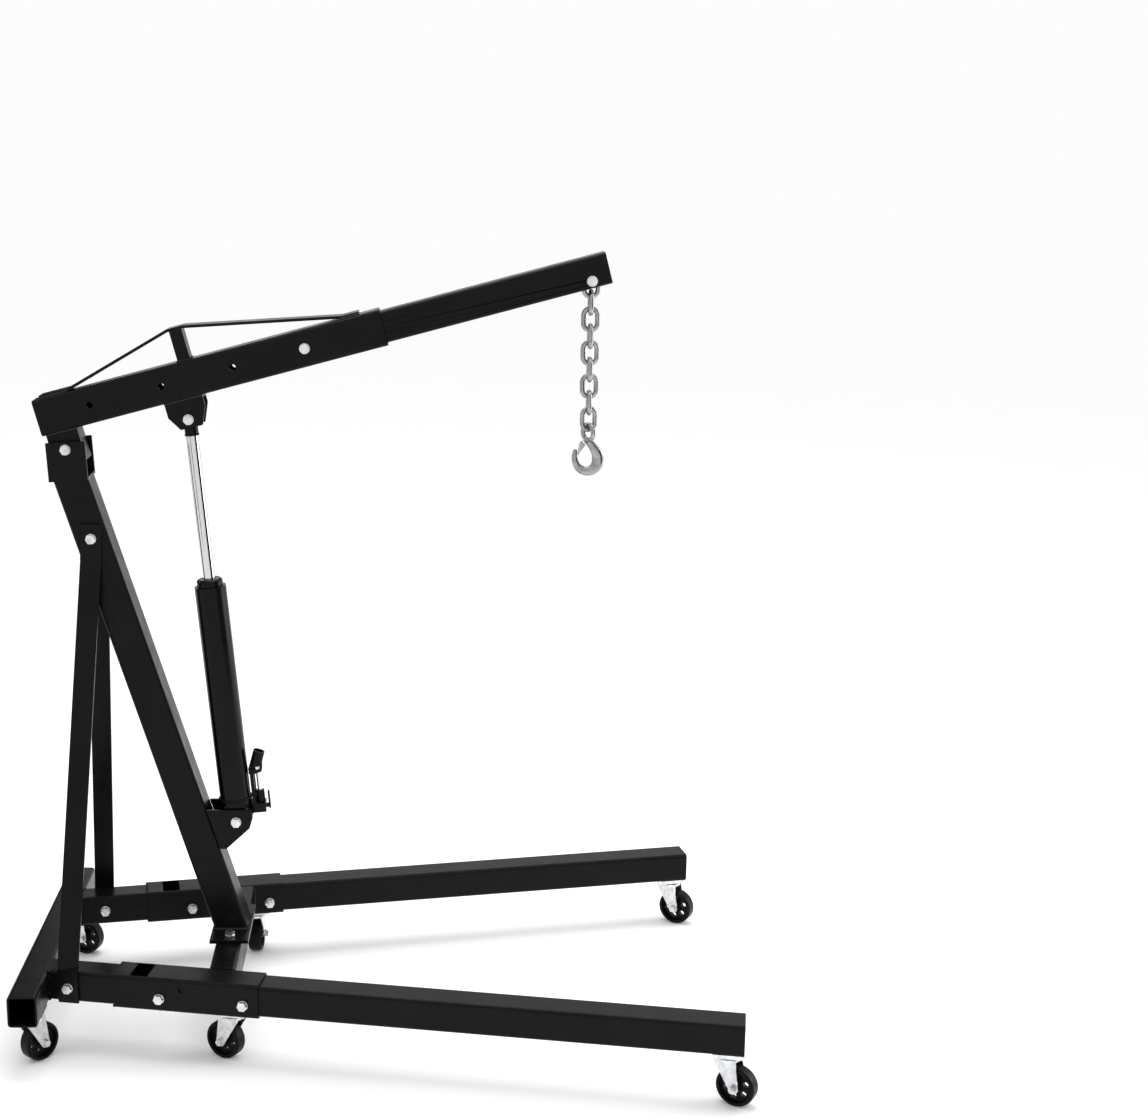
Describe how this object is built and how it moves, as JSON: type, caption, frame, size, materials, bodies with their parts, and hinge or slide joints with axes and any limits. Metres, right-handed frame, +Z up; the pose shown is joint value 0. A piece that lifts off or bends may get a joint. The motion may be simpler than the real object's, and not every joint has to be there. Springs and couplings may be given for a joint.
{
  "type": "hydraulic shop crane",
  "caption": "Shop crane: inclined mast on splayed castered legs, telescopic trussed boom raised by a hydraulic ram with hand pump, and a chain with a safety hook.",
  "frame": {"origin": "centre of the footprint, on the floor", "axes": "+X forward along the legs, +Y to the crane's left, +Z up"},
  "size_m": [1.4839, 0.9432, 1.6254],
  "materials": {
    "frame_paint": "satin black powder coat",
    "zinc": "bright zinc plating",
    "chrome": "hard chrome",
    "chain_steel": "bright zinc plating",
    "wheel": "moulded black wheel",
    "ram_paint": "gloss black enamel"
  },
  "bodies": {
    "base": {"rear_cross_tube": "frame_paint", "side_rail_left": "frame_paint", "side_rail_right": "frame_paint", "leg_sleeve_left": "frame_paint", "leg_sleeve_right": "frame_paint", "middle_cross_tube": "frame_paint", "base_caster_plates": "zinc", "mast_tube": "frame_paint", "mast_foot_plate": "frame_paint", "mast_head_bracket": "frame_paint", "ram_lower_bracket": "frame_paint", "brace_left": "frame_paint", "brace_right": "frame_paint", "frame_bolts": "zinc", "leg_bolt_ends": "zinc", "boom_pivot_bolt": "zinc", "ram_lower_bolt": "zinc"},
    "leg_left": {"front_leg_left": "frame_paint", "leg_hardware_left": "zinc"},
    "leg_right": {"front_leg_right": "frame_paint", "leg_hardware_right": "zinc"},
    "boom": {"boom_tube": "frame_paint", "boom_pivot_lug": "frame_paint", "boom_truss": "frame_paint", "ram_upper_bracket": "frame_paint", "boom_bolt_ends": "zinc"},
    "extension": {"boom_extension": "frame_paint", "extension_bolts": "zinc"},
    "ram": {"ram_barrel": "ram_paint", "ram_gland": "ram_paint", "pump_body": "ram_paint"},
    "rod": {"ram_rod": "chrome", "rod_eye": "ram_paint"},
    "plunger": {"pump_plunger": "chrome"},
    "socket": {"handle_socket": "ram_paint"},
    "valve": {"release_valve": "ram_paint"},
    "hook_body": {"hook": "chain_steel"},
    "latch": {"hook_latch": "chain_steel"},
    "link_1": {"chain_link_1": "chain_steel"},
    "link_2": {"chain_link_2": "chain_steel"},
    "link_3": {"chain_link_3": "chain_steel"},
    "link_4": {"chain_link_4": "chain_steel"},
    "link_5": {"chain_link_5": "chain_steel"},
    "link_6": {"chain_link_6": "chain_steel"},
    "link_7": {"chain_link_7": "chain_steel"},
    "link_8": {"chain_link_8": "chain_steel"},
    "link_9": {"chain_link_9": "chain_steel"},
    "fork_front_left": {"caster_fork_front_left": "zinc"},
    "wheel_front_left": {"caster_wheel_front_left": "wheel"},
    "fork_middle_left": {"caster_fork_middle_left": "zinc"},
    "wheel_middle_left": {"caster_wheel_middle_left": "wheel"},
    "fork_rear_left": {"caster_fork_rear_left": "zinc"},
    "wheel_rear_left": {"caster_wheel_rear_left": "wheel"},
    "fork_front_right": {"caster_fork_front_right": "zinc"},
    "wheel_front_right": {"caster_wheel_front_right": "wheel"},
    "fork_middle_right": {"caster_fork_middle_right": "zinc"},
    "wheel_middle_right": {"caster_wheel_middle_right": "wheel"},
    "fork_rear_right": {"caster_fork_rear_right": "zinc"},
    "wheel_rear_right": {"caster_wheel_rear_right": "wheel"}
  },
  "joints": [
    {"name": "boom_lift", "type": "hinge", "parent": "base", "child": "boom", "pos_m": [-0.63448, 0, 1.232], "axis": [0, -1, 0], "range_deg": [-30, 10]},
    {"name": "ram_swing", "type": "hinge", "parent": "base", "child": "ram", "pos_m": [-0.30881, 0, 0.432], "axis": [0, -1, 0], "range_deg": [-0.2, 0.4]},
    {"name": "ram_extend", "type": "slide", "parent": "ram", "child": "rod", "axis": [-0.0899, 0, 0.996], "range_m": [-0.132, 0.0445]},
    {"name": "extension_slide", "type": "slide", "parent": "boom", "child": "extension", "axis": [0.9673, 0, 0.2538], "range_m": [-0.375, 0]},
    {"name": "leg_slide_left", "type": "slide", "parent": "base", "child": "leg_left", "axis": [0.9839, 0.1788, 0], "range_m": [0, 0.17]},
    {"name": "leg_slide_right", "type": "slide", "parent": "base", "child": "leg_right", "axis": [0.9839, -0.1788, 0], "range_m": [0, 0.17]},
    {"name": "chain_swing", "type": "hinge", "parent": "extension", "child": "link_1", "pos_m": [0.42599, 0, 1.5679], "axis": [0, -1, 0], "range_deg": [-10, 30]},
    {"name": "link_2_swing", "type": "hinge", "parent": "link_1", "child": "link_2", "pos_m": [0.42599, 0, 1.5352], "axis": [1, 0, 0], "range_deg": [-10, 10]},
    {"name": "link_3_swing", "type": "hinge", "parent": "link_2", "child": "link_3", "pos_m": [0.42599, 0, 1.5015], "axis": [0, 1, 0], "range_deg": [-10, 10]},
    {"name": "link_4_swing", "type": "hinge", "parent": "link_3", "child": "link_4", "pos_m": [0.42599, 0, 1.4678], "axis": [1, 0, 0], "range_deg": [-10, 10]},
    {"name": "link_5_swing", "type": "hinge", "parent": "link_4", "child": "link_5", "pos_m": [0.42599, 0, 1.4341], "axis": [0, 1, 0], "range_deg": [-10, 10]},
    {"name": "link_6_swing", "type": "hinge", "parent": "link_5", "child": "link_6", "pos_m": [0.42599, 0, 1.4004], "axis": [1, 0, 0], "range_deg": [-10, 10]},
    {"name": "link_7_swing", "type": "hinge", "parent": "link_6", "child": "link_7", "pos_m": [0.42599, 0, 1.3667], "axis": [0, 1, 0], "range_deg": [-10, 10]},
    {"name": "link_8_swing", "type": "hinge", "parent": "link_7", "child": "link_8", "pos_m": [0.42599, 0, 1.333], "axis": [1, 0, 0], "range_deg": [-10, 10]},
    {"name": "link_9_swing", "type": "hinge", "parent": "link_8", "child": "link_9", "pos_m": [0.42599, 0, 1.2993], "axis": [0, 1, 0], "range_deg": [-10, 10]},
    {"name": "hook_swing", "type": "hinge", "parent": "link_9", "child": "hook_body", "pos_m": [0.42599, 0, 1.2656], "axis": [0.9397, 0.342, 0], "range_deg": [-10, 10]},
    {"name": "latch_swing", "type": "hinge", "parent": "hook_body", "child": "latch", "pos_m": [0.41699, 0, 1.2389], "axis": [0, 1, 0], "range_deg": [-30, 0], "stiffness_Nm_per_rad": 0.02, "springref_deg": 17.19},
    {"name": "handle_pump", "type": "hinge", "parent": "ram", "child": "socket", "pos_m": [-0.27696, 0, 0.53528], "axis": [0, 1, 0], "range_deg": [0, 50]},
    {"name": "plunger_stroke", "type": "slide", "parent": "ram", "child": "plunger", "axis": [-0.0899, 0, 0.996], "range_m": [-0.0125, 0]},
    {"name": "valve_turn", "type": "hinge", "parent": "ram", "child": "valve", "pos_m": [-0.2418, 0, 0.45712], "axis": [0.996, 0, 0.0899], "range_deg": [-40, 40]},
    {"name": "swivel_front_left", "type": "hinge", "parent": "leg_left", "child": "fork_front_left", "pos_m": [0.68331, 0.4314, 0.095], "axis": [0, 0, 1], "continuous": true},
    {"name": "roll_front_left", "type": "hinge", "parent": "fork_front_left", "child": "wheel_front_left", "pos_m": [0.70027, 0.4208, 0.04], "axis": [0.5299, 0.848, 0], "continuous": true},
    {"name": "swivel_middle_left", "type": "hinge", "parent": "base", "child": "fork_middle_left", "pos_m": [-0.30156, 0.25242, 0.095], "axis": [0, 0, 1], "continuous": true},
    {"name": "roll_middle_left", "type": "hinge", "parent": "fork_middle_left", "child": "wheel_middle_left", "pos_m": [-0.30017, 0.27237, 0.04], "axis": [-0.9976, 0.0698, 0], "continuous": true},
    {"name": "swivel_rear_left", "type": "hinge", "parent": "base", "child": "fork_rear_left", "pos_m": [-0.71381, 0.265, 0.095], "axis": [0, 0, 1], "continuous": true},
    {"name": "roll_rear_left", "type": "hinge", "parent": "fork_rear_left", "child": "wheel_rear_left", "pos_m": [-0.69502, 0.25816, 0.04], "axis": [0.342, 0.9397, 0], "continuous": true},
    {"name": "swivel_front_right", "type": "hinge", "parent": "leg_right", "child": "fork_front_right", "pos_m": [0.68331, -0.4314, 0.095], "axis": [0, 0, 1], "continuous": true},
    {"name": "roll_front_right", "type": "hinge", "parent": "fork_front_right", "child": "wheel_front_right", "pos_m": [0.70027, -0.442, 0.04], "axis": [0.5299, 0.848, 0], "continuous": true},
    {"name": "swivel_middle_right", "type": "hinge", "parent": "base", "child": "fork_middle_right", "pos_m": [-0.30156, -0.25242, 0.095], "axis": [0, 0, 1], "continuous": true},
    {"name": "roll_middle_right", "type": "hinge", "parent": "fork_middle_right", "child": "wheel_middle_right", "pos_m": [-0.31888, -0.24242, 0.04], "axis": [-0.5, -0.866, 0], "continuous": true},
    {"name": "swivel_rear_right", "type": "hinge", "parent": "base", "child": "fork_rear_right", "pos_m": [-0.71381, -0.265, 0.095], "axis": [0, 0, 1], "continuous": true},
    {"name": "roll_rear_right", "type": "hinge", "parent": "fork_rear_right", "child": "wheel_rear_right", "pos_m": [-0.70095, -0.24968, 0.04], "axis": [-0.766, 0.6428, 0], "continuous": true}
  ],
  "couplings": [
    {"joint": "ram_swing", "follows": "boom_lift", "ratio": -0.01},
    {"joint": "ram_extend", "follows": "boom_lift", "m_per_rad": 0.24938},
    {"joint": "chain_swing", "follows": "boom_lift", "ratio": -1},
    {"joint": "plunger_stroke", "follows": "handle_pump", "m_per_rad": -0.01389}
  ]
}
